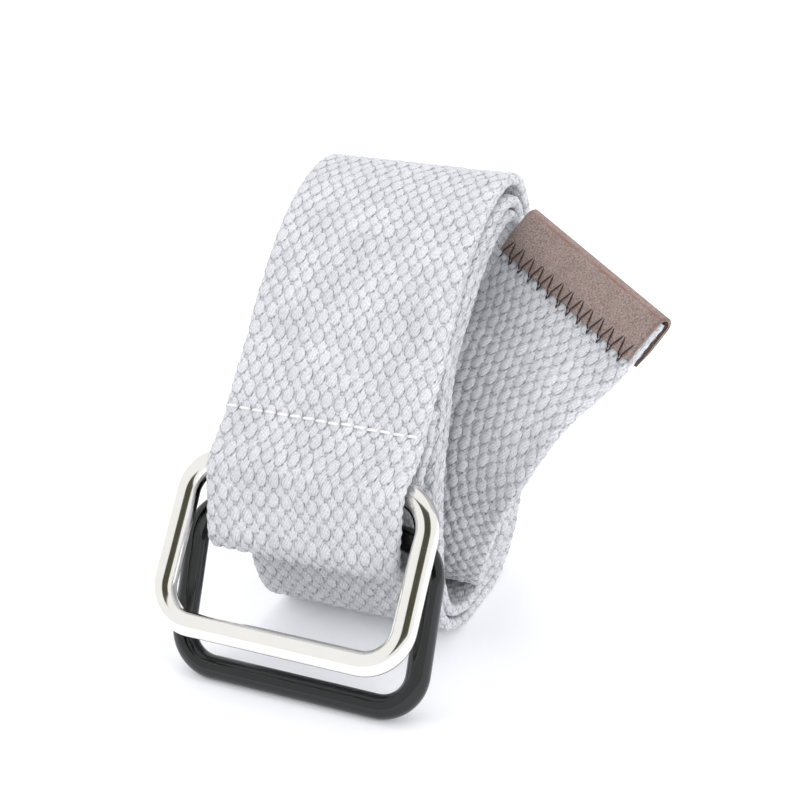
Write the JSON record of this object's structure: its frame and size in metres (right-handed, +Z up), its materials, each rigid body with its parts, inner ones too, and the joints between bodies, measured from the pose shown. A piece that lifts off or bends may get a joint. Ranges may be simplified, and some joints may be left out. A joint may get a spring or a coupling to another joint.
{
  "type": "double ring belt",
  "caption": "Woven cotton webbing belt wound into a loose standing roll, with two rounded wire rings held in its sewn end and a leather tip on its free tail.",
  "frame": {"origin": "on the floor under the middle of the whole belt as it stands", "axes": "+X along the strap's width, to the right seen from the rings, +Y from the rings to the back of the roll, +Z up"},
  "size_m": [0.0812, 0.0774, 0.0833],
  "materials": {
    "webbing": "light bluish-grey cotton webbing in a coarse staggered weave",
    "polished_nickel": "polished nickel plate, slightly warm",
    "black_enamel": "gloss black coating over a wire ring",
    "tip_leather": "fine-grained greyish-brown leather"
  },
  "bodies": {
    "belt": {"strap": "webbing", "leather_tip": "tip_leather"},
    "silver": {"silver_ring": "polished_nickel"},
    "black": {"black_ring": "black_enamel"}
  },
  "joints": [
    {"name": "silver_ring_swing", "type": "hinge", "parent": "belt", "child": "silver", "pos_m": [-0.01538, -0.01918, 0.03843], "axis": [-1, 0, 0], "range_deg": [0, 100]},
    {"name": "black_ring_swing", "type": "hinge", "parent": "belt", "child": "black", "pos_m": [-0.01468, -0.0194, 0.02983], "axis": [1, 0, 0], "range_deg": [0, 15]}
  ]
}
